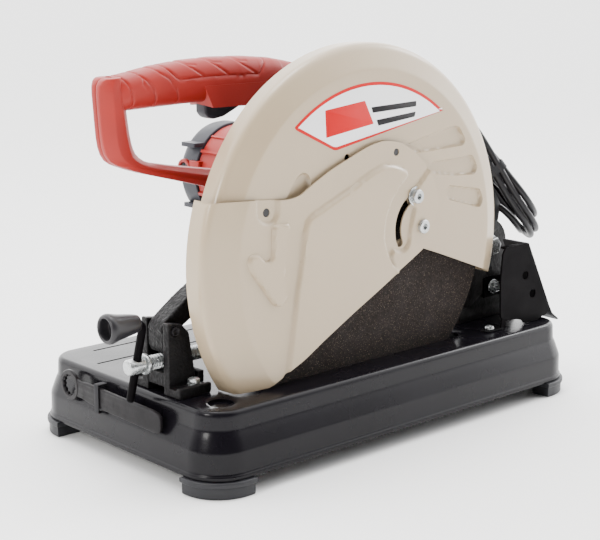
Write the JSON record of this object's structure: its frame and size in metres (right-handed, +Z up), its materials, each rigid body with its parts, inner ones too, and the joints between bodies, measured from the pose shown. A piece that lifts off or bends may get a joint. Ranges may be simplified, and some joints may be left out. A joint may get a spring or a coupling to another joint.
{
  "type": "abrasive chop saw",
  "caption": "Bench chop saw with an abrasive wheel under a beige guard, a red motor and D-handle on a swinging arm, and a black base with a screw vise and a swivelling fence.",
  "frame": {"origin": "on the floor, below the middle of the saw's box, cord left out", "axes": "+X from the operator's handle to the arm pivot, +Y from the wheel side to the motor side, +Z up"},
  "size_m": [0.5991, 0.2898, 0.3828],
  "materials": {
    "base_paint": "semi-gloss black paint",
    "black_paint": "black powder coat",
    "cast_black": "rough cast, black paint",
    "arm_alloy": "die cast, black paint",
    "guard_paint": "smooth beige enamel on pressed steel",
    "abrasive": "coarse resin-bonded grit",
    "zinc": "bright zinc plate",
    "steel": "turned steel",
    "wrench_steel": "dark stamped steel",
    "red_plastic": "matte moulded nylon",
    "grey_plastic": "fine moulded texture",
    "black_plastic": "fine moulded texture",
    "rubber": "soft matte",
    "cord_jacket": "satin jacket",
    "copper": "enamelled winding",
    "lamination": "stacked sheet"
  },
  "bodies": {
    "base": {"base_casting": "base_paint", "foot_front_right": "rubber", "foot_front_left": "rubber", "foot_rear_right": "rubber", "foot_rear_left": "rubber", "vise_bracket": "cast_black", "vise_bolt_right": "zinc", "vise_bolt_left": "zinc", "lever_pin": "steel", "wrench": "wrench_steel", "wrench_clip": "black_paint", "fence_bolt_pivot": "zinc", "pivot_pedestal": "cast_black", "pivot_shaft": "zinc", "arm_spring": "steel", "depth_stop_bolt": "zinc", "depth_stop_nut": "zinc", "spark_deflector": "black_paint", "deflector_bolt": "zinc", "deflector_screw": "zinc"},
    "jaw": {"vise_jaw": "cast_black"},
    "screw": {"vise_screw": "zinc", "crank_rod": "black_paint"},
    "knob": {"crank_knob": "black_plastic"},
    "lever": {"release_lever": "cast_black"},
    "fence": {"fence_plate": "cast_black", "fence_bolt_lock": "zinc"},
    "pin": {"lock_pin": "zinc"},
    "arm": {"arm_casting": "arm_alloy", "spindle_bearing_front": "steel", "spindle_bearing_rear": "steel", "armature_bearing_front": "steel", "stator": "lamination", "motor_housing": "red_plastic", "motor_end_cap": "grey_plastic", "brush_cap_front": "black_plastic", "brush_cap_rear": "black_plastic", "upper_guard": "guard_paint", "guard_back_plate": "guard_paint", "guard_pivot_bolt": "zinc", "guard_guide_bolt": "zinc", "handle_shell_right": "red_plastic", "handle_shell_left": "red_plastic", "strain_relief": "rubber", "cord_hank": "cord_jacket", "power_cord": "cord_jacket", "power_plug": "black_plastic"},
    "wheel": {"spindle": "steel", "spindle_gear": "steel", "inner_flange": "steel", "abrasive_wheel": "abrasive", "outer_flange": "steel", "wheel_bolt": "zinc"},
    "armature": {"armature_shaft": "steel", "cooling_fan": "black_plastic", "armature_core": "copper"},
    "flap": {"lower_guard": "guard_paint"},
    "trigger_body": {"trigger": "grey_plastic"},
    "lock_on": {"lock_on_button": "black_plastic"},
    "spindle_lock": {"spindle_lock_button": "black_plastic"}
  },
  "joints": [
    {"name": "arm_pivot", "type": "hinge", "parent": "base", "child": "arm", "pos_m": [0.2145, -0.022, 0.157], "axis": [0, 1, 0], "range_deg": [0, 40]},
    {"name": "wheel_spin", "type": "hinge", "parent": "arm", "child": "wheel", "pos_m": [-0.002, -0.088, 0.194], "axis": [0, 1, 0], "continuous": true},
    {"name": "armature_spin", "type": "hinge", "parent": "arm", "child": "armature", "pos_m": [-0.002, 0.04, 0.24], "axis": [0, 1, 0], "continuous": true},
    {"name": "guard_swing", "type": "hinge", "parent": "arm", "child": "flap", "pos_m": [0.0595, -0.106, 0.2035], "axis": [0, 1, 0], "range_deg": [0, 90]},
    {"name": "trigger_pull", "type": "hinge", "parent": "arm", "child": "trigger_body", "pos_m": [-0.0665, 0, 0.333], "axis": [0, 1, 0], "range_deg": [0, 5], "stiffness_Nm_per_rad": 4, "springref_deg": -2.86},
    {"name": "lock_on_push", "type": "slide", "parent": "arm", "child": "lock_on", "axis": [0, -1, 0], "range_m": [0, 0.003], "stiffness_N_per_m": 600, "springref_m": -0.002},
    {"name": "spindle_lock_push", "type": "slide", "parent": "arm", "child": "spindle_lock", "axis": [1, 0, 0], "range_m": [0, 0.004], "stiffness_N_per_m": 800, "springref_m": -0.002},
    {"name": "jaw_slide", "type": "slide", "parent": "base", "child": "jaw", "axis": [-1, 0, 0], "range_m": [0, 0.084]},
    {"name": "screw_turn", "type": "hinge", "parent": "jaw", "child": "screw", "pos_m": [-0.1785, -0.042, 0.105], "axis": [-1, 0, 0], "range_deg": [0, 10080]},
    {"name": "knob_spin", "type": "hinge", "parent": "screw", "child": "knob", "pos_m": [-0.2635, -0.05487, 0.14812], "axis": [1, 0, 0], "continuous": true},
    {"name": "lever_release", "type": "hinge", "parent": "base", "child": "lever", "pos_m": [-0.2075, -0.042, 0.1355], "axis": [0, -1, 0], "range_deg": [0, 35]},
    {"name": "fence_swivel", "type": "hinge", "parent": "base", "child": "fence", "pos_m": [0.0695, -0.04, 0.084], "axis": [0, 0, -1], "range_deg": [0, 45]},
    {"name": "lock_pin_slide", "type": "slide", "parent": "base", "child": "pin", "axis": [0, -1, 0], "range_m": [0, 0.0095]}
  ],
  "couplings": [
    {"joint": "armature_spin", "follows": "wheel_spin", "ratio": -4.3333},
    {"joint": "screw_turn", "follows": "jaw_slide", "rad_per_m": 2094.4}
  ]
}
